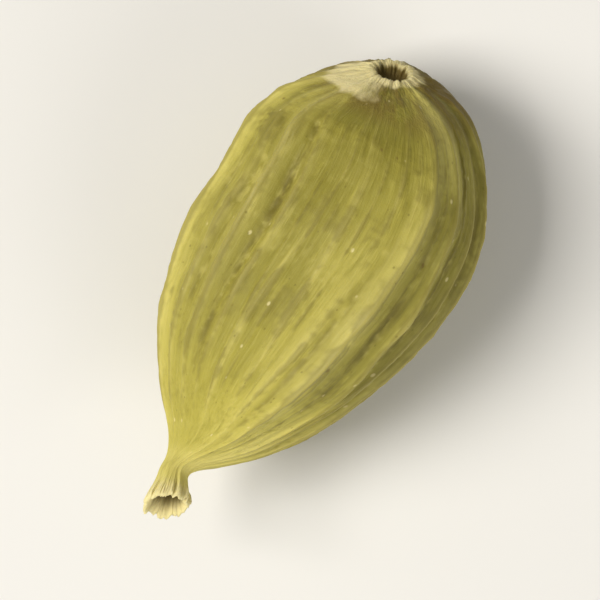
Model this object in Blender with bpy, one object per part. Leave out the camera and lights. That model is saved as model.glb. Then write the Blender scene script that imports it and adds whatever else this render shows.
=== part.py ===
"""Dried green cardamom pod, lying on its side.

One closed capsule: a bluntly three-cornered husk with lengthwise ribs, a short hollow beak at its tip, where the
flower sat, and a pitted scar at its base, where the stalk broke off. It rests on a small flat spot.

Metres, +Z up. +X runs along the pod to its beak. The origin lies on the resting surface, under the middle of the pod.
"""

import math

import bmesh
import bpy
from mathutils import Vector

MM = 0.001

# Driving sizes
POD_LENGTH = 15.0 * MM
HEIGHT_SHARE = 0.92
SPOT_DEPTH = 0.30 * MM

# Stations of the outline, as seen from above: distance from the beak's mouth, how far the pod's middle lies towards
# +Y there, and half its width, in millimetres. The first lead from the floor of the beak's hollow round its lip, the
# last round the rim of the scar to the floor of its pit.
BEAK_HOLLOW = [
    (1.05, -0.31, 0.00),
    (1.00, -0.30, 0.14),
    (0.62, -0.20, 0.22),
    (0.22, -0.09, 0.40),
    (0.04, -0.04, 0.53),
    (0.00, -0.03, 0.60),
    (0.06, -0.05, 0.65),
]
HUSK = [
    (0.20, -0.09, 0.62),
    (0.60, -0.20, 0.48),
    (1.00, -0.31, 0.42),
    (1.35, -0.18, 0.54),
    (1.75, 0.04, 0.88),
    (2.30, 0.20, 1.36),
    (3.10, 0.16, 2.02),
    (4.20, 0.15, 2.72),
    (5.50, 0.26, 3.26),
    (6.90, 0.40, 3.62),
    (8.40, 0.55, 3.78),
    (9.80, 0.62, 3.80),
    (11.20, 0.54, 3.66),
    (12.30, 0.36, 3.32),
    (13.08, 0.18, 2.88),
    (13.64, 0.02, 2.34),
    (13.98, -0.12, 1.76),
    (14.16, -0.22, 1.22),
]
SCAR_PIT = [
    (14.28, -0.28, 0.82),
    (14.34, -0.31, 0.69),
    (14.28, -0.28, 0.54),
    (14.06, -0.18, 0.40),
    (13.96, -0.13, 0.22),
    (14.00, -0.15, 0.00),
]

# Corners of the widest section: angle from the top towards +Y, height as a share of the radius, and spread
CORNERS = [(-80.0, 0.13, 28.0), (29.0, 0.14, 22.0), (176.0, 0.09, 40.0)]

# Ribs of the upper side: angle from the top towards +Y at the crest, height in millimetres, spread, the place along
# the pod where it stands highest, from the beak 0 to the scar 1, how far from there it reaches, and the angle that it
# swings by on its way to the beak
UPPER_RIBS = [
    (-79.0, 0.20, 5.0, 0.58, 0.62, 0.0),
    (-63.0, 0.06, 4.0, 0.45, 0.30, 0.0),
    (-48.0, 0.17, 4.5, 0.76, 0.38, 0.0),
    (-34.0, 0.06, 3.5, 0.57, 0.18, 0.0),
    (-18.0, 0.05, 3.5, 0.30, 0.26, 0.0),
    (-2.0, 0.05, 3.5, 0.50, 0.22, 0.0),
    (12.0, 0.06, 3.5, 0.26, 0.24, -4.0),
    (27.0, 0.24, 5.0, 0.38, 0.42, -4.0),
    (46.0, 0.14, 3.5, 0.42, 0.36, 18.0),
    (64.0, 0.10, 3.5, 0.42, 0.36, 10.0),
    (80.0, 0.17, 4.0, 0.56, 0.52, 4.0),
    (97.0, 0.13, 4.0, 0.50, 0.50, 0.0),
]

# Ribs of the under side, in the same measures: evenly spaced, with heights and highest places from low to high
UNDER_RIBS = 11
UNDER_ANGLES = (113.0, 265.0)
UNDER_HEIGHTS = (0.07, 0.17)
UNDER_SPREAD = 4.5
UNDER_PLACES = (0.3, 0.7)
UNDER_REACH = 0.5

# Every rib sways by an angle, over a number of waves in the pod's length. Some swing closer to the beak than a share
RIB_SWAY = math.radians(1.6)
SWAY_WAVES = 0.9
SWING_FROM = 0.45

# Low forms under the ribs: seeds in staggered rows, and dents as (waves round the pod, turns along it, phase)
SEED_SWELL = 0.06 * MM
SEEDS_IN_A_ROW = 5
SEED_WAVES_ROUND = 3
SEED_PHASE = 0.6
DENT_DEPTH = 0.05 * MM
DENT_WAVES = [(2, 7.0, 0.0), (5, -9.0, 1.0)]

# Half widths at which the corners begin to show and are full, and at which the ribs are full
CORNERS_FROM = 0.75 * MM
CORNERS_FULL = 2.7 * MM
RIBS_FULL = 2.4 * MM

# Both ends turn up, by as much and over as long as given, and face aside
BEAK_RISE = 1.30 * MM
BEAK_TURN_LENGTH = 6.0 * MM
BASE_RISE = 1.05 * MM
BASE_TURN_LENGTH = 4.0 * MM
BEAK_LEAN = 0.45
BASE_LEAN = 0.50

RING_GAP = 0.44 * MM
GOLDEN = 0.6180339887

HUSK_COLOUR = (0.37, 0.31, 0.07, 1.0)
HUSK_ROUGHNESS = 0.6


def smoothstep(low, high, value):
    """0 below low, 1 above high, and an S-curve between."""
    t = min(max((value - low) / (high - low), 0.0), 1.0)
    return t * t * (3.0 - 2.0 * t)


def between(ends, share):
    """The value at a share of the way from the first of two ends to the second."""
    return ends[0] + (ends[1] - ends[0]) * share


def draw(index, step=1):
    """An even spread of values from 0 to 1 for whole numbers, by the golden ratio."""
    return (index * GOLDEN * step) % 1.0


def bell(offset, spread):
    """1 in the middle, falling away to either side."""
    return math.exp(-((offset / spread) ** 2))


def turned(angle):
    """The same direction as an angle from half a turn back to half a turn on."""
    return (angle + math.pi) % math.tau - math.pi


def all_ribs():
    """Every rib as (angle, height, spread, highest share, reach, swing), in order round the pod."""
    ribs = []
    for angle, height, spread, share, reach, swing in UPPER_RIBS:
        ribs.append((math.radians(angle), height * MM, math.radians(spread), share, reach, math.radians(swing)))
    for i in range(UNDER_RIBS):
        angle = between(UNDER_ANGLES, i / (UNDER_RIBS - 1))
        height = between(UNDER_HEIGHTS, draw(i, 3))
        share = between(UNDER_PLACES, draw(i, 5))
        ribs.append((math.radians(angle), height * MM, math.radians(UNDER_SPREAD), share, UNDER_REACH, 0.0))
    return ribs


def corner_radius(angle):
    """Radius of the three-cornered section, as a multiple of the circle's that it grew from."""
    radius = 1.0
    for corner, height, spread in CORNERS:
        radius += height * bell(turned(angle - math.radians(corner)), math.radians(spread))
    return radius


def middle_and_half(values):
    low, high = min(values), max(values)
    return (low + high) / 2.0, (high - low) / 2.0


RIBS = all_ribs()
SECTION_ANGLES = [math.radians(a) for a in range(360)]
SIDE_MIDDLE, SIDE_HALF = middle_and_half([corner_radius(a) * math.sin(a) for a in SECTION_ANGLES])
TOP_MIDDLE, TOP_HALF = middle_and_half([corner_radius(a) * math.cos(a) for a in SECTION_ANGLES])


def section(angle, cornered):
    """Sideways and upward place on a section that fills the square from -1 to 1, from round 0 to cornered 1."""
    radius = corner_radius(angle)
    side = (radius * math.sin(angle) - SIDE_MIDDLE) / SIDE_HALF
    top = (radius * math.cos(angle) - TOP_MIDDLE) / TOP_HALF
    return between((math.sin(angle), side), cornered), between((math.cos(angle), top), cornered)


def crest_angle(index, share):
    """A rib's angle at a share of the pod's length: it sways a little, and may swing on its way to the beak."""
    sway = RIB_SWAY * math.sin(math.tau * (SWAY_WAVES * share + draw(index)))
    return RIBS[index][0] + sway + RIBS[index][5] * max(0.0, 1.0 - share / SWING_FROM)


def rib_relief(angle, share):
    """How far the ribs stand out of the husk."""
    relief = 0.0
    for index, (_, height, spread, highest, reach, _) in enumerate(RIBS):
        strength = 1.0 / (1.0 + ((share - highest) / reach) ** 4)
        relief += height * strength * bell(turned(angle - crest_angle(index, share)), spread)
    return relief


def low_relief(angle, share):
    """Swellings over the seeds, in staggered rows, and the shallow dents of a dried husk."""
    seeds = math.sin(math.tau * SEEDS_IN_A_ROW * share) * math.cos(SEED_WAVES_ROUND * angle + SEED_PHASE)
    dents = sum(math.sin(waves * angle + turns * share + phase) for waves, turns, phase in DENT_WAVES)
    return SEED_SWELL * seeds + DENT_DEPTH * dents


def end_turns(distance):
    """How far the pod has turned into its beak and into its base, from 0 to 1 at each."""
    beak = max(0.0, 1.0 - distance / BEAK_TURN_LENGTH)
    base = max(0.0, 1.0 - (POD_LENGTH - distance) / BASE_TURN_LENGTH)
    return beak, base


def centre(distance, side):
    """The middle of the pod at a distance from its beak's mouth."""
    beak, base = end_turns(distance)
    return Vector((-distance, side, BEAK_RISE * beak**3 + BASE_RISE * base**3))


def section_axes(distance):
    """Unit vectors across and up in the plane of the section, which tips with the pod's ends."""
    beak, base = end_turns(distance)
    lean = BEAK_LEAN * beak**3 + BASE_LEAN * base**2
    slope = 3.0 * (BEAK_RISE * beak**2 / BEAK_TURN_LENGTH - BASE_RISE * base**2 / BASE_TURN_LENGTH)
    forward = Vector((1.0, lean, slope)).normalized()
    across = Vector((0.0, 0.0, 1.0)).cross(forward).normalized()
    return across, forward.cross(across)


def husk_point(angle, station):
    """A point of the husk's surface, before the pod is set down."""
    distance, side, half_width = station
    share = distance / POD_LENGTH
    cornered = smoothstep(CORNERS_FROM, CORNERS_FULL, half_width)
    half_height = half_width * between((1.0, HEIGHT_SHARE), cornered)
    relief = rib_relief(angle, share) * min(half_width / RIBS_FULL, 1.0) + low_relief(angle, share) * cornered
    section_side, section_top = section(angle, cornered)
    across, up = section_axes(distance)
    return (
        centre(distance, side)
        + across * (half_width * section_side + relief * math.sin(angle))
        + up * (half_height * section_top + relief * math.cos(angle))
    )


def curve_through(stations):
    """Points about a ring's gap apart on a Catmull-Rom curve through the stations, without the last one."""
    before = [stations[0] * 2.0 - stations[1]] + stations
    after = stations[1:] + [stations[-1] * 2.0 - stations[-2]]
    curve = []
    for i in range(len(stations) - 1):
        p0, p1, p2, p3 = before[i], stations[i], stations[i + 1], after[i + 1]
        steps = max(1, round((p2 - p1).length / RING_GAP))
        for step in range(steps):
            t = step / steps
            bend = (p2 - p0) * t + (2.0 * p0 - 5.0 * p1 + 4.0 * p2 - p3) * t**2
            bend += (3.0 * p1 - p0 - 3.0 * p2 + p3) * t**3
            curve.append(p1 + 0.5 * bend)
    return curve


def outline():
    """Every ring's (distance, side, half width), from the floor of the hollow beak to that of the scar's pit."""
    beak = [Vector(s) * MM for s in BEAK_HOLLOW]
    husk = [Vector(s) * MM for s in HUSK + SCAR_PIT[:1]]
    scar = [Vector(s) * MM for s in SCAR_PIT]
    return beak + curve_through(husk) + scar


def ring_angles(share):
    """Where a ring has points: on each rib's crest, at its two feet, and midway to the next rib."""
    angles = []
    for here in range(len(RIBS)):
        there = (here + 1) % len(RIBS)
        foot = crest_angle(here, share) + RIBS[here][2]
        next_foot = crest_angle(there, share) - RIBS[there][2]
        next_foot += math.tau * (there == 0)
        angles += [foot - RIBS[here][2], foot, (foot + next_foot) / 2.0, next_foot]
    return angles


def husk_rings():
    """The husk as one list of points for each ring, with a single point for each pole."""
    rings = []
    for station in outline():
        if station.z == 0.0:
            rings.append([centre(station.x, station.y)])
            continue
        rings.append([husk_point(angle, station) for angle in ring_angles(station.x / POD_LENGTH)])
    return rings


def set_down(rings):
    """Moves the rings so that the pod lies on the origin's plane, and flattens the spot that it rests on."""
    points = [p for ring in rings for p in ring]
    low = Vector(min(p[axis] for p in points) for axis in range(3))
    high = Vector(max(p[axis] for p in points) for axis in range(3))
    origin = Vector(((low.x + high.x) / 2.0, (low.y + high.y) / 2.0, low.z + SPOT_DEPTH))
    for point in points:
        point -= origin
        point.z = max(point.z, 0.0)


def skin(rings):
    """A closed mesh over the rings, from one pole to the other."""
    work = bmesh.new()
    loops = [[work.verts.new(p) for p in ring] for ring in rings]
    for here, there in zip(loops, loops[1:]):
        for i in range(max(len(here), len(there))):
            near, far = here[i % len(here)], there[i % len(there)]
            next_near, next_far = here[(i + 1) % len(here)], there[(i + 1) % len(there)]
            work.faces.new(list(dict.fromkeys([near, far, next_far, next_near])))
    bmesh.ops.recalc_face_normals(work, faces=work.faces)
    bmesh.ops.triangulate(work, faces=work.faces, quad_method="SHORT_EDGE")
    mesh = bpy.data.meshes.new("pod")
    work.to_mesh(mesh)
    work.free()
    mesh.shade_smooth()
    return mesh


def husk_material():
    """Dry, papery, olive-green husk."""
    material = bpy.data.materials.new("green_husk")
    material.use_nodes = True
    shader = material.node_tree.nodes["Principled BSDF"]
    shader.inputs["Base Color"].default_value = HUSK_COLOUR
    shader.inputs["Roughness"].default_value = HUSK_ROUGHNESS
    shader.inputs["Metallic"].default_value = 0.0
    return material


def clear_scene():
    for old in list(bpy.data.objects):
        bpy.data.objects.remove(old)


def build_pod():
    rings = husk_rings()
    set_down(rings)
    mesh = skin(rings)
    mesh.materials.append(husk_material())
    pod = bpy.data.objects.new("pod", mesh)
    bpy.context.scene.collection.objects.link(pod)
    return pod


clear_scene()
build_pod()
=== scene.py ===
"""Dried green cardamom pod, lying on its side on a pale floor in soft studio light.

The husk is one closed skin over stations from the floor of the hollow beak to the floor of the stalk scar.
Ribs, the threads along their crests, veins, furrows and puckers rise from it by a formula.
"""

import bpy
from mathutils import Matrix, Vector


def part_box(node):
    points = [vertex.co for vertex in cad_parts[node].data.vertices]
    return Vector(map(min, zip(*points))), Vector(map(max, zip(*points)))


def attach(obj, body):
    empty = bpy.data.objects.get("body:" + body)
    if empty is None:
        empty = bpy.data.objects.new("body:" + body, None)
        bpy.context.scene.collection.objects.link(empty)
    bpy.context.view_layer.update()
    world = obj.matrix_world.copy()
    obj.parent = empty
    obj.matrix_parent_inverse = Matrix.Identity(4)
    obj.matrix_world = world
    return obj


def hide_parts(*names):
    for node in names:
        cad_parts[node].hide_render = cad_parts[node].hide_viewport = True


bl_info = {
    "name": "Green Cardamom Pod",
    "version": (1, 0, 0),
    "blender": (4, 5, 0),
    "location": "3D View > Sidebar > Pod",
    "description": "Makes a dried green cardamom pod with a ribbed, papery husk",
    "category": "Add Mesh",
}

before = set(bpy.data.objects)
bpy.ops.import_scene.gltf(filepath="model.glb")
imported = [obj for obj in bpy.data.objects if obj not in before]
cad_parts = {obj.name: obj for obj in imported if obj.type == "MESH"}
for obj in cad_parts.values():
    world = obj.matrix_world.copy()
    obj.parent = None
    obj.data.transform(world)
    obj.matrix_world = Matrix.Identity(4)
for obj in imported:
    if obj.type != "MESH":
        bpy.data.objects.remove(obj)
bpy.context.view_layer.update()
POD_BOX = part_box("pod")

import math

import bmesh
import bpy
from bpy.props import FloatProperty, FloatVectorProperty, IntProperty, PointerProperty
from mathutils import Vector

MM = 0.001
TAU = math.tau
GOLDEN = 0.6180339887

# Stations of the outline, as seen from above: distance from the beak's mouth, how far the pod's middle lies
# towards +Y there, and half its width, in millimetres
BEAK_HOLLOW = [
    (1.05, -0.31, 0.00),
    (1.00, -0.30, 0.16),
    (0.62, -0.20, 0.27),
    (0.22, -0.09, 0.44),
    (0.05, -0.04, 0.55),
    (0.00, -0.03, 0.60),
    (0.06, -0.05, 0.65),
]
HUSK = [
    (0.20, -0.09, 0.62),
    (0.60, -0.20, 0.48),
    (1.00, -0.31, 0.42),
    (1.35, -0.18, 0.54),
    (1.75, 0.04, 0.88),
    (2.30, 0.20, 1.36),
    (3.10, 0.16, 2.02),
    (4.20, 0.15, 2.72),
    (5.50, 0.26, 3.26),
    (6.90, 0.40, 3.62),
    (8.40, 0.55, 3.78),
    (9.80, 0.62, 3.80),
    (11.20, 0.54, 3.66),
    (12.30, 0.36, 3.32),
    (13.08, 0.18, 2.88),
    (13.64, 0.02, 2.34),
    (13.98, -0.12, 1.76),
    (14.16, -0.22, 1.22),
]
SCAR_PIT = [
    (14.28, -0.28, 0.82),
    (14.34, -0.31, 0.67),
    (14.30, -0.29, 0.52),
    (14.06, -0.18, 0.40),
    (13.96, -0.13, 0.22),
    (14.00, -0.15, 0.00),
]

# Points of the outline's curve from each station to the next
OUTLINE_STEPS = 16

# Corners of the widest section: angle from the top towards +Y, height as a share of the radius, and spread
CORNERS = [(-80.0, 0.13, 28.0), (29.0, 0.14, 22.0), (176.0, 0.09, 40.0)]

# Ribs of the upper side: angle from the top towards +Y at the crest, height in millimetres, spread, the
# place along the pod where it stands highest, from the beak 0 to the scar 1, how far from there it reaches,
# and the angle that it swings by on its way to the beak
UPPER_RIBS = [
    (-79.0, 0.20, 5.0, 0.58, 0.62, 0.0),
    (-63.0, 0.06, 4.0, 0.45, 0.30, 0.0),
    (-48.0, 0.17, 4.5, 0.76, 0.38, 0.0),
    (-34.0, 0.06, 3.5, 0.57, 0.18, 0.0),
    (-18.0, 0.05, 3.5, 0.30, 0.26, 0.0),
    (-2.0, 0.05, 3.5, 0.50, 0.22, 0.0),
    (12.0, 0.06, 3.5, 0.26, 0.24, -4.0),
    (27.0, 0.24, 5.0, 0.38, 0.42, -4.0),
    (46.0, 0.14, 3.5, 0.42, 0.36, 18.0),
    (64.0, 0.10, 3.5, 0.42, 0.36, 10.0),
    (80.0, 0.17, 4.0, 0.56, 0.52, 4.0),
    (97.0, 0.13, 4.0, 0.50, 0.50, 0.0),
]
# Ribs of the under side, in the same measures: evenly spaced, with heights and places from low to high
UNDER_RIBS = 11
UNDER_ANGLES = (113.0, 265.0)
UNDER_HEIGHTS = (0.07, 0.17)
UNDER_SPREAD = 4.5
UNDER_PLACES = (0.3, 0.7)
UNDER_REACH = 0.5
RIB_UNEVENNESS = 0.35

# Veins, the fine ribs between the others: how many, and the least and most of each measure. They are spaced
# evenly, and then shifted by up to half of VEIN_SHIFT degrees
VEINS = 64
VEIN_HEIGHTS = (0.010, 0.040)
VEIN_SPREADS = (0.9, 1.5)
VEIN_PLACES = (0.15, 0.85)
VEIN_REACHES = (0.18, 0.45)
VEIN_SHIFT = 3.6
VEIN_UNEVENNESS = 0.8

# The thread along the crest of each rib: its height as a share of the rib's, and its spread
THREAD_SHARE = 0.28
THREAD_SPREAD = 1.3

# Furrows beside the ribs, in the ribs' measures, with how unevenly each is sunk. The three towards +Y are
# spread wide, so that their darker colour also paints shade over the side that turns from the key lamp
FURROWS = [
    (37.0, 0.09, 3.8, 0.46, 0.36, 3.0, 0.9),
    (54.0, 0.10, 4.0, 0.56, 0.38, 14.0, 0.7),
    (72.0, 0.11, 5.0, 0.56, 0.44, 8.0, 0.4),
    (-57.0, 0.05, 3.6, 0.66, 0.34, 0.0, 0.5),
    (-40.0, 0.10, 3.6, 0.58, 0.30, 0.0, 0.6),
    (-71.0, 0.03, 3.2, 0.74, 0.22, 0.0, 0.4),
    (18.5, 0.05, 2.6, 0.30, 0.25, -4.0, 0.6),
]

# How far the ribs sway from side to side and in how many waves, and the share of the length below which they
# swing
RIB_SWAY = math.radians(1.6)
SWAY_WAVES = 0.9
SWING_FROM = 0.45

# How evenly a rib keeps its height until it fades, how fast its unevenness varies along the pod and from rib
# to rib, and how much narrower than the rib its coloured crest is
RIB_FADE_POWER = 4.0
WANDER_WAVES = 9.0
WANDER_APART = 80.0
CREST_NARROWER = 1.6

# Pale shoulders, partly where the husk is worn and partly painted light on the keels and sides that the lamps
# leave dim: angle from the top towards +Y, spread, the shares of the length between which each shows, and how
# strongly. One that runs out to an end doesn't fade there
BEAK_END = -1.0
SCAR_END = 2.0
WORN_AND_LIT_SHOULDERS = [
    (-82.0, 14.0, 0.22, 0.46, 1.4),
    (-82.0, 13.0, 0.12, SCAR_END, 1.0),
    (-56.0, 13.0, 0.82, SCAR_END, 0.9),
    (-42.0, 6.0, 0.84, SCAR_END, 0.9),
    (10.0, 14.0, BEAK_END, 0.70, 0.55),
    (8.0, 22.0, BEAK_END, 0.26, 0.8),
    (25.0, 8.0, BEAK_END, SCAR_END, 0.40),
    (40.0, 12.0, 0.82, SCAR_END, 1.2),
    (58.0, 36.0, BEAK_END, 0.27, 1.3),
    (86.0, 7.0, BEAK_END, 0.40, 1.4),
    (176.0, 16.0, BEAK_END, 0.95, 0.7),
]
SHOULDER_FADE = 0.15

# Low forms under the ribs: seeds in staggered rows, and dents as (waves round the pod, turns along it, phase)
SEED_SWELL = 0.04
SEEDS_IN_A_ROW = 5
SEED_WAVES_ROUND = 3
SEED_PHASE = 0.6
DENT_DEPTH = 0.05
DENT_WAVES = [(2, 7.0, 0.0), (5, -9.0, 1.0)]

# Puckers and creases: how sharp a pucker is, the level it rises from, how much of it shows outside the
# furrows, and the strength of the fine creases and the lumps beside it
PUCKER_POWER = 4.0
PUCKER_LEVEL = 0.35
PUCKERS_ELSEWHERE = 0.30
FINE_CREASES = 0.6
LUMPS = 1.2

# How ragged the ends are for each Torn Depth: lip and rim along the pod, then rim and lip up and down
LIP_TEAR = 2.6
RIM_TEAR = 1.4
RIM_RAISED = 0.9
LIP_RAISED = 0.35

# How far a point stands out of the skin round it where its swell is 1, in millimetres, and how many times
# that skin is evened out
SWELL_FULL = 0.02
SWELL_ROUNDS = 24

# Half widths in millimetres at which the corners begin to show and are full, and at which the ribs are full
CORNERS_FROM = 0.75
CORNERS_FULL = 2.7
RIBS_FULL = 2.4

# How far the pod's run is turned towards +Y at the beak's mouth and at the scar, as a slope
BEAK_LEAN = 0.45
BASE_LEAN = 0.50

# The radius that the patterns are measured in, and the share of their way round the pod that they keep where
# the husk is narrow
POD_RADIUS = 3.8 * MM
NARROW_GRAIN = 0.45

# How far the patterns move along the pod for each whole number of the seed, in radii
SEED_STEP = 7.3

# Points of the skin that are closer than this are one: the ends of each ring, and the middles of both pits
MERGE_DISTANCE = 0.0001 * MM

# Shares of the outline: where the beak's lip and the scar's rim stand, how much closer rings are at both
# ends, and how far past the lip or the rim the hollow's colour starts and is full
LIP_PLACE = 0.0675
RIM_PLACE = 0.954
CLOSER_AT_ENDS = 0.3
HOLLOW_STARTS = 0.002
MOUTH_FULL = 0.030
PIT_FULL = 0.018

# The side of the scar that is pale
SCAR_PALE_ANGLE = math.radians(-70.0)
SCAR_PALE_SPREAD = math.radians(60.0)
SCAR_RIM_PALE = 0.72

# Distances from the beak's mouth, in millimetres, at which something starts and is full
MOUTH_TORN = (1.0, 0.1)
MOUTH_PALE = (0.75, 0.15)
NECK_PALE = (2.0, 0.7)
SCAR_TORN = (13.92, 14.2)
SCAR_PALE = (13.70, 14.08)
SCAR_RIM = (14.16, 14.30)

# Patterns on the husk: how finely each is drawn round the pod and along it, its waves a radius, and its
# detail, roughness and distortion
PATTERNS = {
    "creases": (1.6, 3.6, 2.6, 3.0, 0.55, 0.6),
    "fine": (1.0, 0.30, 11.0, 3.0, 0.6, 0.0),
    "lumps": (1.0, 0.6, 3.2, 2.0, 0.5, 0.0),
    "ragged": (1.0, 0.0, 2.3, 4.0, 0.65, 0.0),
    "uneven_rim": (1.0, 1.0, 5.0, 3.0, 0.6, 0.0),
    "blotches": (1.0, 0.7, 1.3, 3.0, 0.55, 0.8),
    "clouds": (1.0, 0.30, 3.4, 4.0, 0.6, 1.0),
    "patches": (1.0, 0.25, 8.0, 3.0, 0.6, 0.7),
    "streaks": (1.0, 0.10, 17.0, 3.0, 0.6, 0.0),
    "fibres": (1.0, 0.07, 46.0, 2.0, 0.6, 0.0),
    "pores": (1.0, 1.0, 60.0, 3.0, 0.65, 0.0),
    "spots": (1.0, 0.6, 8.0, 2.0, 0.5, 0.0),
    "ends": (1.0, 1.0, 2.6, 3.0, 0.6, 0.0),
}

# From gold at the beak to darker leaf green at the scar, partly the husk's own tone and partly painted light
# over the beak half and painted shade over the scar half: the shares of the length between which it turns,
# and how far. Blotches and clouds move that place by a share of the length, and worn and lit husk turns less
GREENING_AND_SHADE = [(-0.12, 0.56, 0.84), (0.55, 0.98, 0.16)]
BLOTCHY = 0.10
LESS_GREEN_WHERE_WORN_AND_LIT = 0.90

# Flecks over that: the pattern, the values of it at which they start and are full, how strong, and which
# colour
FLECKS = [
    ("patches", 0.52, 0.72, 0.28, "gold"),
    ("patches", 0.48, 0.28, 0.26, "leaf"),
    ("streaks", 0.52, 0.74, 0.14, "straw"),
    ("streaks", 0.48, 0.28, 0.18, "furrow"),
    ("fibres", 0.50, 0.72, 0.12, "straw"),
    ("fibres", 0.48, 0.26, 0.10, "furrow"),
]

# Values of a pattern or an attribute at which something starts and is full
WORN_AND_LIT_WHERE = (0.20, 0.60)
VEIN_WHERE = (0.35, 0.60)
CREST_WHERE = (0.20, 0.55)
SWELLS = (0.25, 1.6)
DIPS = (-0.2, -1.5)
SPOTTED_WHERE = (0.42, 0.60)
NECK_WHERE = (0.20, 0.50)
SCAR_SHARES = (0.87, 0.94)
SCAR_WHERE = (0.30, 0.52)
RAGGED_WHERE = (0.0, 0.25)
CREAM_WHERE = (0.25, 0.75)
STAINED_WHERE = (0.48, 0.28)
SMOOTHER_WHERE = (0.5, 0.8)

# How strongly each finish shows. LEAST is how much of it shows where its pattern is weakest
WORN_AND_LIT_LEAST = 0.65
WORN_AND_LIT_PALE = 0.55
VEIN_PALE = 0.30
CREST_PALE_AND_HIGHLIGHT = 0.50
THREAD_PALE_AND_HIGHLIGHT = 0.72
SWELL_PALE_AND_HIGHLIGHT = 0.35
DIP_SHADE = 0.50
DIP_SHADE_LESS_AT_NECK = 0.32
TRENCH_TONE_AND_SHADE_LEAST = 0.25
TRENCH_TONE_AND_SHADE = 0.90
NECK_STRAW = 0.90
SCAR_BRUISED = 0.80
SCAR_LESS_WHERE_WORN_AND_LIT = 0.8
RAGGED_CREAM = 1.2
TORN_CREAM = 0.90
TORN_STAINED = 0.20
HOLLOW_DARK = 0.95

# Specks: how many a radius, their radius in cells, the share of cells without one, their colour and strength
SPECKS = [
    (9.0, 0.16, 0.72, "cream", 0.55),
    (6.5, 0.13, 0.84, "bruise", 0.70),
    (15.0, 0.15, 0.70, "furrow", 0.50),
]
SPECK_DRAWN_OUT = 0.7
SPECK_CORE = 0.4

# Roughness of the husk, how much its crests and streaks are smoother, and its clouds and neck rougher
HUSK_ROUGHNESS = 0.60
CREST_SMOOTHER = 0.10
STREAK_SMOOTHER = 0.08
CLOUD_ROUGHER = 0.20
NECK_ROUGHER = 0.12

# Height of each pattern in the husk's finest relief, as a share of its depth in millimetres
BUMPS = {"streaks": 0.9, "fibres": 0.7, "pores": 0.25, "patches": 0.4}
BUMP_DEPTH = 0.045
BUMP_STRENGTH = 0.70

# Lamps: how far each stands to the picture's right, towards its top and above the pod, the metres that those
# are counted in, its width in metres, and its colour
LAMPS = {
    "key": ((-0.75, 0.05, 1.0), 0.25, 0.16, (1.0, 0.97, 0.92)),
    "fill": ((0.75, -0.85, 0.55), 0.26, 0.25, (1.0, 0.985, 0.96)),
}
SKY_COLOUR = (1.0, 0.985, 0.955, 1.0)

# The floor's faint clouds, in waves a metre, and its colour where they are darkest as a share of it elsewhere
FLOOR_CLOUDS = 60.0
FLOOR_DARKER = 0.97


def between(ends, share):
    """The value at a share of the way from the first of two ends to the second."""
    return ends[0] + (ends[1] - ends[0]) * share


def draw(index, step=1):
    """An even spread of values from 0 to 1 for whole numbers, by the golden ratio."""
    return (index * GOLDEN * step) % 1.0


class Value:
    """A socket in a Python expression. Each operator adds the Math node that works it out."""

    def __init__(self, tree, socket):
        self.tree = tree
        self.socket = socket

    def math(self, operation, *others):
        return self.tree.add("ShaderNodeMath", {"operation": operation}, [self, *others])

    def vector(self, operation, *others):
        """The same by a Vector Math node, for a vector."""
        return self.tree.add("ShaderNodeVectorMath", {"operation": operation}, [self, *others])

    def also(self, output):
        """Another output of the node that this value comes from."""
        return Value(self.tree, self.tree.enabled(self.socket.node.outputs, output))

    def __add__(self, other):
        return self.math("ADD", other)

    def __sub__(self, other):
        return self.math("SUBTRACT", other)

    def __rsub__(self, other):
        return self.tree.add("ShaderNodeMath", {"operation": "SUBTRACT"}, [other, self])

    def __mul__(self, other):
        return self.math("MULTIPLY", other)

    def __truediv__(self, other):
        return self.math("DIVIDE", other)

    def __rtruediv__(self, other):
        return self.tree.add("ShaderNodeMath", {"operation": "DIVIDE"}, [other, self])

    def __pow__(self, power):
        return self.math("POWER", power)

    __radd__ = __add__
    __rmul__ = __mul__


class Tree:
    """A node tree. add() makes every node in it."""

    def __init__(self, tree):
        self.tree = tree

    @staticmethod
    def enabled(sockets, place):
        """The socket with a name, or at a place among those in use."""
        in_use = [s for s in sockets if s.enabled]
        if isinstance(place, int):
            return in_use[place]
        return next(s for s in in_use if s.name == place)

    def add(self, kind, settings=None, values=(), out=0):
        """A node of a kind: settings come first, then values or links for its sockets, by place or name."""
        node = self.tree.nodes.new(kind)
        for name, setting in (settings or {}).items():
            setattr(node, name, setting)
        places = values.items() if isinstance(values, dict) else enumerate(values)
        for place, value in places:
            socket = self.enabled(node.inputs, place)
            if isinstance(value, Value):
                self.tree.links.new(value.socket, socket)
            else:
                socket.default_value = value
        outputs = [s for s in node.outputs if s.enabled]
        return Value(self, self.enabled(node.outputs, out)) if outputs else None

    def link(self, value, node, place):
        """Runs a value into a socket of a node that is already there."""
        self.tree.links.new(value.socket, self.enabled(node.inputs, place))


def group_tree(name, inputs, outputs):
    """A node group's tree, its named inputs as values in a dict, and its output node."""
    tree = Tree(bpy.data.node_groups.new(name, "GeometryNodeTree"))
    for sockets, side in ((inputs, "INPUT"), (outputs, "OUTPUT")):
        for label, kind in sockets:
            tree.tree.interface.new_socket(name=label, in_out=side, socket_type=kind)
    entry = tree.tree.nodes.new("NodeGroupInput")
    given = {s.name: Value(tree, s) for s in entry.outputs if s.name}
    return tree, given, tree.tree.nodes.new("NodeGroupOutput")


NUMBER = "NodeSocketFloat"
WHOLE = "NodeSocketInt"
VECTOR = "NodeSocketVector"
GEOMETRY = "NodeSocketGeometry"
MATERIAL = "NodeSocketMaterial"


def least(a, b):
    return a.math("MINIMUM", b)


def most(a, b):
    return a.math("MAXIMUM", b)


def blend(a, b, share):
    """From a to b as a share goes from 0 to 1."""
    return a + (b - a) * share


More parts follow.
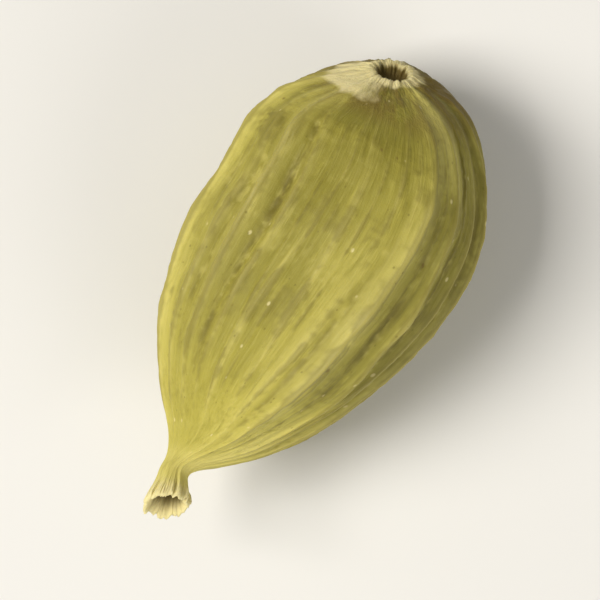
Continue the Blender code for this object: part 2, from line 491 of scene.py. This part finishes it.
def smoothstep(value, low, high):
    """0 below low, 1 above high, and an S-curve between; low may be the larger."""
    settings = {"interpolation_type": "SMOOTHSTEP"}
    return value.tree.add("ShaderNodeMapRange", settings, [value, low, high, 0.0, 1.0])


def along_pod(distance, ends):
    """From 0 to 1 between two distances from the beak's mouth, in millimetres."""
    return smoothstep(distance, ends[0] * MM, ends[1] * MM)


def bell(offset, sharpness=1.0):
    """1 in the middle, and falling to 0 on both sides."""
    return (offset * offset * -sharpness).math("EXPONENT")


def turned_from(angle, middle, spread):
    """How many spreads an angle is away from a middle, the shorter way round."""
    return (angle - middle).math("WRAP", math.pi, -math.pi) / spread


def vector_of(tree, x, y, z):
    return tree.add("ShaderNodeCombineXYZ", None, [x, y, z])


def parts_of(vector):
    """A vector's three numbers."""
    x = vector.tree.add("ShaderNodeSeparateXYZ", None, [vector])
    return x, x.also("Y"), x.also("Z")


def scaled(vector, amount):
    values = {"Vector": vector, "Scale": amount}
    return vector.tree.add("ShaderNodeVectorMath", {"operation": "SCALE"}, values)


def noise(place, scale, detail=2.0, roughness=0.5, distortion=0.0):
    """Noise from about 0 to 1 at a place, in as many waves a unit as the scale."""
    values = {
        "Vector": place,
        "Scale": scale,
        "Detail": detail,
        "Roughness": roughness,
        "Distortion": distortion,
    }
    return place.tree.add("ShaderNodeTexNoise", {"noise_dimensions": "3D"}, values)


def pattern(grain, name):
    """One of the husk's patterns, from about 0 to 1."""
    round_pod, along, *look = PATTERNS[name]
    return noise(grain.vector("MULTIPLY", (round_pod, round_pod, along)), *look)


def signed(share):
    """A share from 0 to 1 as a value from -1 to 1."""
    return (share - 0.5) * 2.0


def rib_group():
    """A rib's height at an angle and a share of the length, and how close that place is to its crest."""
    names = "Angle Share Crest Height Spread Highest Reach Swing Sway Phase Unevenness".split()
    tree, given, result = group_tree(
        "pod_rib", [(name, NUMBER) for name in names], [("Relief", NUMBER), ("Nearness", NUMBER)]
    )
    share = given["Share"]
    sway = given["Sway"] * ((share * SWAY_WAVES + given["Phase"]) * TAU).math("SINE")
    crest = given["Crest"] + sway + given["Swing"] * most(1.0 - share / SWING_FROM, 0.0)
    offset = turned_from(given["Angle"], crest, given["Spread"])
    strength = 1.0 / (((share - given["Highest"]) / given["Reach"]) ** RIB_FADE_POWER + 1.0)
    wander = {"W": share * WANDER_WAVES + given["Phase"] * WANDER_APART, "Scale": 1.0, "Detail": 1.0}
    uneven = tree.add("ShaderNodeTexNoise", {"noise_dimensions": "1D"}, wander)
    strength = strength * (signed(uneven) * given["Unevenness"] + 1.0)
    tree.link(given["Height"] * strength * bell(offset), result, "Relief")
    tree.link(strength * bell(offset, CREST_NARROWER), result, "Nearness")
    return tree.tree


def corner_radius(angle):
    """Radius of the three-cornered section, as a multiple of the circle's that it grew from."""
    radius = 1.0
    for corner, height, spread in CORNERS:
        offset = (angle - math.radians(corner) + math.pi) % TAU - math.pi
        radius += height * math.exp(-((offset / math.radians(spread)) ** 2))
    return radius


def middle_and_half(values):
    low, high = min(values), max(values)
    return (low + high) / 2.0, (high - low) / 2.0


SECTION_ANGLES = [math.radians(a) for a in range(360)]
SIDE_MIDDLE, SIDE_HALF = middle_and_half([corner_radius(a) * math.sin(a) for a in SECTION_ANGLES])
TOP_MIDDLE, TOP_HALF = middle_and_half([corner_radius(a) * math.cos(a) for a in SECTION_ANGLES])


def rib(place, angle, height, spread, share, reach, swing, uneven):
    """A rib's values in the rib group: degrees become radians, and millimetres metres."""
    return {
        "Crest": math.radians(angle),
        "Height": height * MM,
        "Spread": math.radians(spread),
        "Highest": share,
        "Reach": reach,
        "Swing": math.radians(swing),
        "Phase": draw(place),
        "Unevenness": uneven,
    }


def all_ribs():
    ribs = [rib(i, *measures, RIB_UNEVENNESS) for i, measures in enumerate(UPPER_RIBS)]
    for i in range(UNDER_RIBS):
        angle = between(UNDER_ANGLES, i / (UNDER_RIBS - 1))
        height = between(UNDER_HEIGHTS, draw(i, 3))
        share = between(UNDER_PLACES, draw(i, 5))
        ribs.append(rib(len(ribs), angle, height, UNDER_SPREAD, share, UNDER_REACH, 0.0, RIB_UNEVENNESS))
    return ribs


def all_veins():
    """Every fine rib."""
    veins = []
    for i in range(VEINS):
        angle = 360.0 * i / VEINS + VEIN_SHIFT * (draw(i, 7) - 0.5)
        height = between(VEIN_HEIGHTS, draw(i, 11) ** 2)
        spread = between(VEIN_SPREADS, draw(i, 13))
        share = between(VEIN_PLACES, draw(i, 4))
        reach = between(VEIN_REACHES, draw(i, 9))
        veins.append(rib(2 * i, angle, height, spread, share, reach, 0.0, VEIN_UNEVENNESS))
    return veins


def all_threads(ribs):
    """A thread along the crest of each rib."""
    threads = []
    for values in ribs:
        narrow = {"Height": values["Height"] * THREAD_SHARE, "Spread": math.radians(THREAD_SPREAD)}
        threads.append({**values, **narrow, "Unevenness": VEIN_UNEVENNESS})
    return threads


def all_furrows():
    return [rib(6 * i, *measures) for i, measures in enumerate(FURROWS)]


def sum_of_ribs(tree, group, ribs, angle, share):
    """The ribs' heights together, and how close each place is to a crest, taller ribs counting for more."""
    relief = nearness = None
    tallest = max(values["Height"] for values in ribs)
    for values in ribs:
        values = {"Angle": angle, "Share": share, "Sway": RIB_SWAY, **values}
        height = tree.add("GeometryNodeGroup", {"node_tree": group}, values, "Relief")
        near = height.also("Nearness") * (values["Height"] / tallest) ** 0.5
        relief = height if relief is None else relief + height
        nearness = near if nearness is None else most(nearness, near)
    return relief, nearness


# The named inputs of the husk's tree, and what kind of value each takes
HUSK_INPUTS = {
    "Length": NUMBER,
    "Height Share": NUMBER,
    "Spot Depth": NUMBER,
    "Beak Rise": NUMBER,
    "Beak Turn": NUMBER,
    "Base Rise": NUMBER,
    "Base Turn": NUMBER,
    "Rib Height": NUMBER,
    "Vein Height": NUMBER,
    "Furrow Depth": NUMBER,
    "Pucker Depth": NUMBER,
    "Torn Depth": NUMBER,
    "Rings": WHOLE,
    "Points Round": WHOLE,
    "Seed": WHOLE,
    "Low Corner": VECTOR,
    "High Corner": VECTOR,
    "Husk Material": MATERIAL,
}


def store(tree, geometry, name, value, kind="FLOAT"):
    """Keeps a value on the points of the geometry, under a name."""
    settings = {"data_type": kind, "domain": "POINT"}
    values = {"Geometry": geometry, "Name": name, "Value": value}
    return tree.add("GeometryNodeStoreNamedAttribute", settings, values)


def station_at(tree, stations, factor):
    """The station at a share of the outline's curve: its distance, side and half width."""
    outline = tree.add("GeometryNodeMeshToCurve", None, [stations])
    outline = tree.add("GeometryNodeCurveSplineType", {"spline_type": "CATMULL_ROM"}, [outline])
    steps = {"Geometry": outline, "Resolution": OUTLINE_STEPS}
    outline = tree.add("GeometryNodeSetSplineResolution", None, steps)
    settings = {"mode": "FACTOR", "use_all_curves": True}
    values = {"Curves": outline, "Factor": factor}
    return parts_of(tree.add("GeometryNodeSampleCurve", settings, values, "Position"))


def section_at(angle, sine, cosine, cornered):
    """How far out the section is at an angle, to the side and up, from -1 to 1."""
    radius = 1.0
    for corner, height, spread in CORNERS:
        radius = radius + bell(turned_from(angle, math.radians(corner), math.radians(spread))) * height
    side = blend(sine, (radius * sine - SIDE_MIDDLE) / SIDE_HALF, cornered)
    top = blend(cosine, (radius * cosine - TOP_MIDDLE) / TOP_HALF, cornered)
    return side, top


def low_forms(angle, share):
    """The seeds' swell and the dents, in millimetres."""
    rows = (angle * SEED_WAVES_ROUND + SEED_PHASE).math("COSINE")
    forms = (share * (TAU * SEEDS_IN_A_ROW)).math("SINE") * rows * SEED_SWELL
    for waves, turns, phase in DENT_WAVES:
        forms = forms + (angle * waves + share * turns + phase).math("SINE") * DENT_DEPTH
    return forms


def wrinkles(grain, full, cornered, trench):
    """Puckers across the furrows and slighter ones all over, where the husk shrank as it dried."""
    pucker = (1.0 - signed(pattern(grain, "creases")).math("ABSOLUTE")) ** PUCKER_POWER
    strength = blend(PUCKERS_ELSEWHERE, 1.0, least(trench, 1.0)) * cornered
    fine = (pattern(grain, "fine") - 0.5) * FINE_CREASES * full
    lumps = (pattern(grain, "lumps") - 0.5) * LUMPS * cornered
    return (pucker - PUCKER_LEVEL) * strength + fine + lumps


def turned_up(tree, given, distance):
    """How far the pod's middle is turned up at a distance, and the ways across it and up from it there."""
    beak = most(1.0 - distance / given["Beak Turn"], 0.0)
    base = most(1.0 - (given["Length"] - distance) / given["Base Turn"], 0.0)
    rise = given["Beak Rise"] * beak**3.0 + given["Base Rise"] * base**3.0
    lean = beak**3.0 * BEAK_LEAN + base**2.0 * BASE_LEAN
    beak_slope = given["Beak Rise"] / given["Beak Turn"] * beak**2.0
    base_slope = given["Base Rise"] / given["Base Turn"] * base**2.0
    forward = vector_of(tree, 1.0, lean, (beak_slope - base_slope) * 3.0)
    across = vector_of(tree, 0.0, 0.0, 1.0).vector("CROSS_PRODUCT", forward).vector("NORMALIZE")
    return rise, across, forward.vector("NORMALIZE").vector("CROSS_PRODUCT", across)


def worn_and_lit_shoulders(angle, share):
    """How pale the husk is at an angle and a share of the length, partly worn and partly painted light: as
    the strongest shoulder there.
    """
    lit_worn = None
    for middle, spread, start, end, strength in WORN_AND_LIT_SHOULDERS:
        shown = smoothstep(share, start - SHOULDER_FADE, start + SHOULDER_FADE)
        shown = shown * smoothstep(share, end + SHOULDER_FADE, end - SHOULDER_FADE)
        near = bell(turned_from(angle, math.radians(middle), math.radians(spread)))
        shoulder = near * shown * strength
        lit_worn = shoulder if lit_worn is None else most(lit_worn, shoulder)
    return lit_worn


def pale_scar(angle, distance):
    """How pale the husk is round the scar: most on one side of it, and all round on its rim."""
    side = bell(turned_from(angle, SCAR_PALE_ANGLE, SCAR_PALE_SPREAD))
    return most(along_pod(distance, SCAR_PALE) * side, along_pod(distance, SCAR_RIM) * SCAR_RIM_PALE)


def inside_ends(along_outline):
    """1 inside the beak and in the scar's pit."""
    mouth = smoothstep(along_outline, LIP_PLACE - HOLLOW_STARTS, LIP_PLACE - MOUTH_FULL)
    return most(mouth, smoothstep(along_outline, RIM_PLACE + HOLLOW_STARTS, RIM_PLACE + PIT_FULL))


def husk_tree():
    """Tree that turns a line of stations into the pod's skin."""
    tree, given, result = group_tree(
        "pod_husk", [("Stations", GEOMETRY), *HUSK_INPUTS.items()], [("Husk", GEOMETRY)]
    )
    sheet = tree.add(
        "GeometryNodeMeshGrid",
        None,
        {"Size X": 1.0, "Size Y": 1.0, "Vertices X": given["Rings"], "Vertices Y": given["Points Round"]},
    )
    along_sheet, round_sheet, _ = parts_of(tree.add("GeometryNodeInputPosition"))
    along_outline = along_sheet + 0.5 + (along_sheet * TAU).math("SINE") * (CLOSER_AT_ENDS / TAU)
    distance, side, half_width = station_at(tree, given["Stations"], along_outline)
    share = distance / given["Length"]
    angle = (round_sheet + 0.5) * TAU
    sine, cosine = angle.math("SINE"), angle.math("COSINE")
    full = least(half_width / (RIBS_FULL * MM), 1.0)
    cornered = smoothstep(half_width, CORNERS_FROM * MM, CORNERS_FULL * MM)

    # The place on the husk in radii, which follows the ribs: round it in x and y, and along it in z. It goes
    # round more slowly where the husk is narrow, so that the grain doesn't get too fine there
    round_size = blend(NARROW_GRAIN, 1.0, full)
    lengthwise = distance / POD_RADIUS + given["Seed"] * SEED_STEP
    grain = vector_of(tree, sine * round_size, cosine * round_size, lengthwise)

    group = rib_group()
    ribs, crest = sum_of_ribs(tree, group, all_ribs(), angle, share)
    threads, thread_crest = sum_of_ribs(tree, group, all_threads(all_ribs()), angle, share)
    veins, vein_crest = sum_of_ribs(tree, group, all_veins(), angle, share)
    furrows, trench = sum_of_ribs(tree, group, all_furrows(), angle, share)

    # Round the mouth of the beak and the scar the husk is torn
    mouth = along_pod(distance, MOUTH_TORN)
    rim = along_pod(distance, SCAR_TORN)
    torn = (pattern(grain, "ragged") - 0.5) * given["Torn Depth"]
    torn_distance = distance + torn * mouth * LIP_TEAR - torn * rim * RIM_TEAR
    raised = (pattern(grain, "uneven_rim") - 0.5) * given["Torn Depth"] * RIM_RAISED

    relief = (
        (ribs + threads) * full * given["Rib Height"]
        + veins * full * given["Vein Height"]
        - furrows * full * given["Furrow Depth"]
        + low_forms(angle, share) * MM * cornered
        + wrinkles(grain, full, cornered, trench) * given["Pucker Depth"]
        + raised * most(rim, mouth * LIP_RAISED)
    )
    out_side, out_top = section_at(angle, sine, cosine, cornered)
    half_height = half_width * blend(1.0, given["Height Share"], cornered)
    rise, across, up = turned_up(tree, given, distance)
    middle = vector_of(tree, torn_distance * -1.0, side, rise)
    place = middle.vector("ADD", scaled(across, half_width * out_side + relief * sine))
    place = place.vector("ADD", scaled(up, half_height * out_top + relief * cosine))

    skin = store(tree, sheet, "grain", grain, "FLOAT_VECTOR")
    for name, value in {
        "share": share,
        "shoulder": worn_and_lit_shoulders(angle, share),
        "crest": crest * full,
        "thread": thread_crest * full,
        "vein": vein_crest * full,
        "trench": trench * full,
        "neck": along_pod(distance, NECK_PALE),
        "mouth": along_pod(distance, MOUTH_PALE),
        "scar": pale_scar(angle, distance),
        "hollow": inside_ends(along_outline),
    }.items():
        skin = store(tree, skin, name, value)
    skin = tree.add("GeometryNodeSetPosition", None, {"Geometry": skin, "Position": place})
    skin = tree.add("GeometryNodeMergeByDistance", None, {"Geometry": skin, "Distance": MERGE_DISTANCE})
    skin = set_down(tree, skin, given)
    skin = with_swell(tree, skin)
    skin = tree.add("GeometryNodeSetShadeSmooth", None, {"Geometry": skin, "Shade Smooth": True})
    skin = tree.add("GeometryNodeRealizeInstances", None, {"Geometry": skin})
    finish = {"Geometry": skin, "Material": given["Husk Material"]}
    tree.link(tree.add("GeometryNodeSetMaterial", None, finish), result, "Husk")
    return tree.tree


def set_down(tree, skin, given):
    """Fits the skin to the pod's box, and flattens the spot that it rests on."""
    box = tree.add("GeometryNodeBoundBox", None, {"Geometry": skin}, "Min")
    low = box.vector("ADD", vector_of(tree, 0.0, 0.0, given["Spot Depth"]))
    size = box.also("Max").vector("SUBTRACT", low)
    wanted = given["High Corner"].vector("SUBTRACT", given["Low Corner"])
    place = tree.add("GeometryNodeInputPosition").vector("SUBTRACT", low)
    place = place.vector("MULTIPLY", wanted.vector("DIVIDE", size)).vector("ADD", given["Low Corner"])
    place = place.vector("MAXIMUM", given["Low Corner"])
    return tree.add("GeometryNodeSetPosition", None, {"Geometry": skin, "Position": place})


def with_swell(tree, skin):
    """Stores how far each point stands out of the skin round it: 1 on the sharpest crests, -1 in furrows."""
    place = tree.add("GeometryNodeInputPosition")
    values = {"Value": place, "Iterations": SWELL_ROUNDS}
    level = tree.add("GeometryNodeBlurAttribute", {"data_type": "FLOAT_VECTOR"}, values)
    normal = tree.add("GeometryNodeInputNormal")
    swell = place.vector("SUBTRACT", level)
    swell = tree.add("ShaderNodeVectorMath", {"operation": "DOT_PRODUCT"}, [swell, normal])
    return store(tree, skin, "swell", swell / (SWELL_FULL * MM))


def stations_mesh():
    """The stations as one line of points: distance, side and half width as x, y and z."""
    points = [Vector(s) * MM for s in BEAK_HOLLOW + HUSK + SCAR_PIT]
    mesh = bpy.data.meshes.new("pod_stations")
    mesh.from_pydata(points, [(i, i + 1) for i in range(len(points) - 1)], [])
    return mesh


def made_by(name, mesh, group, values):
    """An object with the plain mesh that a node group makes of another, given values for its named inputs."""
    piece = bpy.data.objects.new(name, mesh)
    bpy.context.scene.collection.objects.link(piece)
    modifier = piece.modifiers.new(name, "NODES")
    modifier.node_group = group
    for socket in group.interface.items_tree:
        if socket.in_out == "INPUT" and socket.name in values:
            modifier[socket.identifier] = values[socket.name]
    depsgraph = bpy.context.evaluated_depsgraph_get()
    made = bpy.data.meshes.new_from_object(
        piece.evaluated_get(depsgraph), preserve_all_data_layers=True, depsgraph=depsgraph
    )
    piece.modifiers.clear()
    piece.data = made
    made.name = name
    if not made.polygons:
        raise RuntimeError(name + " has no faces")
    return piece


def material_tree(name, settings):
    """A new material, its tree and its shader, with the values that are the same all over it."""
    material = bpy.data.materials.new(name)
    material.use_nodes = True
    shader = material.node_tree.nodes["Principled BSDF"]
    for socket, value in settings.items():
        shader.inputs[socket].default_value = value
    return material, Tree(material.node_tree), shader


def attribute(tree, name, output="Fac"):
    return tree.add("ShaderNodeAttribute", {"attribute_name": name}, (), output)


def mixed(share, a, b):
    """Colour a with a share of colour b. A share past 1 counts as 1."""
    settings = {"data_type": "RGBA", "clamp_factor": True}
    return share.tree.add("ShaderNodeMix", settings, {"Factor": share, "A": a, "B": b})


def husk_material(colours):
    """Dry, papery, olive-green skin: straw on its crests, darker in its furrows, pale at its torn ends. The
    crests' straw and the furrows' dark are partly painted highlight and painted shade, and so are the pale
    shoulders and the darker scar half.
    """
    material, tree, shader = material_tree(
        "green_husk",
        {
            "Specular IOR Level": 0.22,
            "Subsurface Weight": 0.12,
            "Subsurface Radius": (1.0, 0.75, 0.25),
            "Subsurface Scale": 0.35 * MM,
        },
    )
    names = "share crest thread vein trench shoulder neck mouth scar hollow swell".split()
    share, crest, thread, vein, trench, shoulder, neck, mouth, scar, hollow, swell = (
        attribute(tree, name) for name in names
    )
    grain = attribute(tree, "grain", "Vector")
    names = "blotches clouds patches streaks fibres pores spots ends".split()
    drawn = {name: pattern(grain, name) for name in names}
    clouds, patches, ends = drawn["clouds"], drawn["patches"], drawn["ends"]
    tints = {name: tuple(getattr(colours, name)) for name in colours.__annotations__}

    # From gold at the beak to darker leaf green at the scar, a little uneven: partly the husk's own tone,
    # partly painted light and painted shade along the pod. Paler on the shoulders, partly worn and partly
    # painted light
    place = share + (drawn["blotches"] - 0.5) * BLOTCHY + (clouds - 0.5) * BLOTCHY
    first, second = (smoothstep(place, start, end) * amount for start, end, amount in GREENING_AND_SHADE)
    lit_worn = shoulder * blend(WORN_AND_LIT_LEAST, 1.0, smoothstep(patches, *WORN_AND_LIT_WHERE))
    green = (first + second) * (1.0 - lit_worn * LESS_GREEN_WHERE_WORN_AND_LIT)
    colour = mixed(green, tints["gold"], tints["leaf"])
    # Straw on the shoulders: partly worn husk, partly painted light where the lamps leave the sides dim
    colour = mixed(lit_worn * lit_worn * WORN_AND_LIT_PALE, colour, tints["straw"])

    for name, start, end, strength, tint in FLECKS:
        colour = mixed(smoothstep(drawn[name], start, end) * strength, colour, tints[tint])
    # Painted shade in the dips of the relief, in the furrows' colour, weaker at the neck
    dip_shade = smoothstep(swell, *DIPS) * (DIP_SHADE - neck * DIP_SHADE_LESS_AT_NECK)
    trench_tone_and_shade = blend(TRENCH_TONE_AND_SHADE_LEAST, TRENCH_TONE_AND_SHADE, smoothstep(drawn["spots"], *SPOTTED_WHERE))
    for shown, tint in (
        (vein * smoothstep(clouds, *VEIN_WHERE) * VEIN_PALE, "straw"),
        # Straw on the crests, threads and swells: partly their own paler colour, partly painted highlight on
        # the relief
        (least(crest, 1.0) * smoothstep(patches, *CREST_WHERE) * CREST_PALE_AND_HIGHLIGHT, "straw"),
        (least(thread, 1.0) * THREAD_PALE_AND_HIGHLIGHT, "straw"),
        (smoothstep(swell, *SWELLS) * SWELL_PALE_AND_HIGHLIGHT, "straw"),
        (dip_shade, "furrow"),
        # Furrows darker: partly their own colour, partly painted shade on the side away from the key lamp
        (least(trench, 1.0) * trench_tone_and_shade, "furrow"),
    ):
        colour = mixed(shown, colour, tints[tint])
    colour = with_specks(tree, grain, colour, tints)

    # The neck, the husk round the scar, the torn ends and their hollows lie over the rest
    bruised = smoothstep(share, *SCAR_SHARES) * smoothstep(ends, *SCAR_WHERE)
    bruised = bruised * (1.0 - shoulder * SCAR_LESS_WHERE_WORN_AND_LIT)
    ragged = scar + (ends - 0.5) * RAGGED_CREAM * smoothstep(scar, *RAGGED_WHERE)
    cream = least(mouth + smoothstep(ragged, *CREAM_WHERE), 1.0)
    for shown, tint in (
        (neck * smoothstep(ends, *NECK_WHERE) * NECK_STRAW, "straw"),
        (bruised * SCAR_BRUISED, "bruise"),
        (cream * TORN_CREAM, "cream"),
        (most(neck, scar) * smoothstep(ends, *STAINED_WHERE) * TORN_STAINED, "bruise"),
        (hollow * HOLLOW_DARK, "hollow"),
    ):
        colour = mixed(shown, colour, tints[tint])
    tree.link(colour, shader, "Base Color")

    smoother = crest * CREST_SMOOTHER + smoothstep(drawn["streaks"], *SMOOTHER_WHERE) * STREAK_SMOOTHER
    rougher = (clouds - 0.5) * CLOUD_ROUGHER + neck * NECK_ROUGHER
    tree.link(HUSK_ROUGHNESS - smoother + rougher, shader, "Roughness")
    height = sum(drawn[name] * amount for name, amount in BUMPS.items())
    bump = {"Strength": BUMP_STRENGTH, "Distance": BUMP_DEPTH * MM, "Height": height}
    tree.link(tree.add("ShaderNodeBump", None, bump), shader, "Normal")
    return material


def with_specks(tree, grain, colour, tints):
    """Pale dots and fewer brown ones, scattered over the husk."""
    for scale, size, share_without, tint, strength in SPECKS:
        values = {"Vector": grain.vector("MULTIPLY", (1.0, 1.0, SPECK_DRAWN_OUT)), "Scale": scale}
        cells = tree.add("ShaderNodeTexVoronoi", {"feature": "F1"}, values, "Distance")
        chosen = parts_of(cells.also("Color"))[0].math("GREATER_THAN", share_without)
        spot = smoothstep(cells, size, size * SPECK_CORE) * chosen
        colour = mixed(spot * strength, colour, tints[tint])
    return colour


class PodHuskShape(bpy.types.PropertyGroup):
    length: FloatProperty(
        name="Length", description="From the beak's mouth to the scar, along the pod", default=15.0 * MM,
        unit="LENGTH",
    )
    height_share: FloatProperty(
        name="Height Share", description="Height of the section as a share of its width", default=0.92
    )
    spot_depth: FloatProperty(
        name="Spot Depth", description="How much of the underside is flat where it rests", default=0.30 * MM,
        unit="LENGTH",
    )
    beak_rise: FloatProperty(
        name="Beak Rise", description="How far the beak turns up", default=1.30 * MM, unit="LENGTH"
    )
    beak_turn: FloatProperty(
        name="Beak Turn", description="Length over which the beak turns up", default=6.0 * MM, unit="LENGTH"
    )
    base_rise: FloatProperty(
        name="Base Rise", description="How far the scar turns up", default=1.05 * MM, unit="LENGTH"
    )
    base_turn: FloatProperty(
        name="Base Turn", description="Length over which the scar turns up", default=4.0 * MM, unit="LENGTH"
    )
    rib_height: FloatProperty(name="Rib Height", description="Height of the ribs, 1 as grown", default=1.0)
    vein_height: FloatProperty(
        name="Vein Height", description="Height of the fine veins, 1 as grown", default=1.0
    )
    furrow_depth: FloatProperty(
        name="Furrow Depth", description="Depth of the furrows, 1 as grown", default=1.0
    )
    pucker_depth: FloatProperty(
        name="Pucker Depth", description="Height of the puckers across the furrows", default=0.075 * MM,
        unit="LENGTH",
    )
    torn_depth: FloatProperty(
        name="Torn Depth", description="How ragged the beak's mouth and the scar are", default=0.40 * MM,
        unit="LENGTH",
    )
    rings: IntProperty(name="Rings", description="Rings of points along the pod", default=184, min=40)
    points_round: IntProperty(name="Points Round", description="Points in each ring", default=536, min=40)
    seed: IntProperty(name="Seed", description="Draw of the puckers and torn rims", default=3)


class PodColours(bpy.types.PropertyGroup):
    # Darker than the gold, partly as painted shade over the scar half
    leaf: FloatVectorProperty(
        name="Leaf", description="Greener husk towards the scar", subtype="COLOR", size=4,
        default=(0.226, 0.197, 0.024, 1.0),
    )
    gold: FloatVectorProperty(
        name="Gold", description="Yellower husk towards the beak", subtype="COLOR", size=4,
        default=(0.50, 0.437, 0.076, 1.0),
    )
    # Also painted as light on the shoulders and, in part, on the crests
    straw: FloatVectorProperty(
        name="Straw", description="Crests of the ribs", subtype="COLOR", size=4,
        default=(0.65, 0.57, 0.165, 1.0),
    )
    # Also painted as shade in the dips of the relief and over the side away from the key lamp
    furrow: FloatVectorProperty(
        name="Furrow", description="Furrows between the ribs", subtype="COLOR", size=4,
        default=(0.145, 0.118, 0.016, 1.0),
    )
    bruise: FloatVectorProperty(
        name="Bruise", description="Brown marks", subtype="COLOR", size=4,
        default=(0.16, 0.105, 0.020, 1.0),
    )
    cream: FloatVectorProperty(
        name="Cream", description="Torn husk at both ends", subtype="COLOR", size=4,
        default=(0.80, 0.70, 0.35, 1.0),
    )
    hollow: FloatVectorProperty(
        name="Hollow", description="Inside the beak and the scar", subtype="COLOR", size=4,
        default=(0.15, 0.105, 0.026, 1.0),
    )


class PodStage(bpy.types.PropertyGroup):
    floor_colour: FloatVectorProperty(
        name="Floor", description="Colour of the floor", subtype="COLOR", size=4,
        default=(0.78, 0.77, 0.74, 1.0),
    )
    floor_radius: FloatProperty(
        name="Floor Radius", description="Radius of the floor", default=0.5, unit="LENGTH"
    )
    key_power: FloatProperty(name="Key Light", description="Power of the main light in watts", default=1.02)
    fill_power: FloatProperty(name="Fill Light", description="Power of the fill light in watts", default=0.48)
    sky_strength: FloatProperty(
        name="Sky", description="Strength of the even light from all round", default=0.25
    )
    lens: FloatProperty(name="Lens", description="The camera's lens in millimetres", default=350.0)
    view_width: FloatProperty(
        name="View Width", description="Width of what the camera sees", default=17.4 * MM, unit="LENGTH"
    )


class POD_OT_make_husk(bpy.types.Operator):
    """Make the husk of the pod"""

    bl_idname = "pod.make_husk"
    bl_label = "Make Husk"

    def execute(self, context):
        shape = context.scene.pod_husk
        values = {name.replace("_", " ").title(): getattr(shape, name) for name in shape.__annotations__}
        values["Low Corner"], values["High Corner"] = (tuple(corner) for corner in POD_BOX)
        values["Husk Material"] = husk_material(context.scene.pod_colours)
        husk = made_by("husk", stations_mesh(), husk_tree(), values)
        face_outwards(husk.data)
        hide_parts("pod")
        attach(husk, "root")
        return {"FINISHED"}


def face_outwards(mesh):
    """Turns every face of a closed mesh outwards."""
    work = bmesh.new()
    work.from_mesh(mesh)
    bmesh.ops.recalc_face_normals(work, faces=work.faces)
    work.to_mesh(mesh)
    work.free()


def look_at(thing, target):
    thing.rotation_euler = (target - thing.location).to_track_quat("-Z", "Y").to_euler()


# The photograph's right and up, in the pod's own axes
PICTURE_TURN = math.radians(118.6)
PICTURE_RIGHT = Vector((math.cos(PICTURE_TURN), math.sin(PICTURE_TURN), 0.0))
PICTURE_UP = Vector((-math.sin(PICTURE_TURN), math.cos(PICTURE_TURN), 0.0))


def area_light(name, place, width, power, colour, target):
    light = bpy.data.lights.new(name, "AREA")
    light.size = width
    light.energy = power
    light.color = colour
    lamp = bpy.data.objects.new(name, light)
    lamp.location = place
    lamp.visible_camera = False
    look_at(lamp, target)
    bpy.context.scene.collection.objects.link(lamp)


class POD_OT_make_stage(bpy.types.Operator):
    """Make the floor, the lights and the camera"""

    bl_idname = "pod.make_stage"
    bl_label = "Make Stage"

    def execute(self, context):
        scene = context.scene
        stage = scene.pod_stage
        middle = (POD_BOX[0] + POD_BOX[1]) / 2.0
        make_floor(stage)
        for name, ((right, top, above), reach, width, colour) in LAMPS.items():
            place = (PICTURE_RIGHT * right + PICTURE_UP * top + Vector((0.0, 0.0, above))) * reach
            area_light(name + "_light", place, width, getattr(stage, name + "_power"), colour, middle)
        world = bpy.data.worlds.new("studio")
        world.use_nodes = True
        background = world.node_tree.nodes["Background"]
        background.inputs["Color"].default_value = SKY_COLOUR
        background.inputs["Strength"].default_value = stage.sky_strength
        scene.world = world
        camera_data = bpy.data.cameras.new("camera")
        camera_data.lens = stage.lens
        camera_data.clip_start = 1.0 * MM
        camera = bpy.data.objects.new("camera", camera_data)
        distance = stage.view_width * camera_data.lens / camera_data.sensor_width
        camera.location = (middle.x, middle.y, middle.z + distance)
        camera.rotation_euler = (0.0, 0.0, PICTURE_TURN)
        scene.collection.objects.link(camera)
        scene.camera = camera
        scene.view_settings.view_transform = "Standard"
        return {"FINISHED"}


def make_floor(stage):
    """A pale round floor just under the pod."""
    mesh = bpy.data.meshes.new("floor")
    work = bmesh.new()
    bmesh.ops.create_circle(work, cap_ends=True, segments=96, radius=stage.floor_radius)
    work.to_mesh(mesh)
    work.free()
    material, tree, shader = material_tree("pale_floor", {"Roughness": 0.8, "Specular IOR Level": 0.2})
    clouds = noise(tree.add("ShaderNodeTexCoord", None, (), "Object"), FLOOR_CLOUDS)
    darker = tuple(FLOOR_DARKER * c for c in stage.floor_colour)
    tree.link(mixed(clouds, tuple(stage.floor_colour), darker), shader, "Base Color")
    mesh.materials.append(material)
    floor = bpy.data.objects.new("floor", mesh)
    bpy.context.scene.collection.objects.link(floor)
    return floor


class POD_PT_panel(bpy.types.Panel):
    """Sizes, colours and buttons of the pod"""

    bl_idname = "POD_PT_panel"
    bl_label = "Green Cardamom Pod"
    bl_space_type = "VIEW_3D"
    bl_region_type = "UI"
    bl_category = "Pod"

    def draw(self, context):
        scene = context.scene
        for operator, group in (
            ("pod.make_stage", scene.pod_stage),
            ("pod.make_husk", scene.pod_husk),
            (None, scene.pod_colours),
        ):
            box = self.layout.box()
            for name in group.__annotations__:
                box.prop(group, name)
            if operator:
                box.operator(operator)


GROUPS = {
    "pod_husk": PodHuskShape,
    "pod_colours": PodColours,
    "pod_stage": PodStage,
}
CLASSES = [*GROUPS.values(), POD_OT_make_stage, POD_OT_make_husk, POD_PT_panel]


def register():
    for cls in CLASSES:
        bpy.utils.register_class(cls)
    for name, group in GROUPS.items():
        setattr(bpy.types.Scene, name, PointerProperty(type=group))


def unregister():
    for name in GROUPS:
        delattr(bpy.types.Scene, name)
    for cls in reversed(CLASSES):
        bpy.utils.unregister_class(cls)


def main():
    register()
    bpy.ops.pod.make_stage()
    bpy.ops.pod.make_husk()


if __name__ == "__main__":
    main()
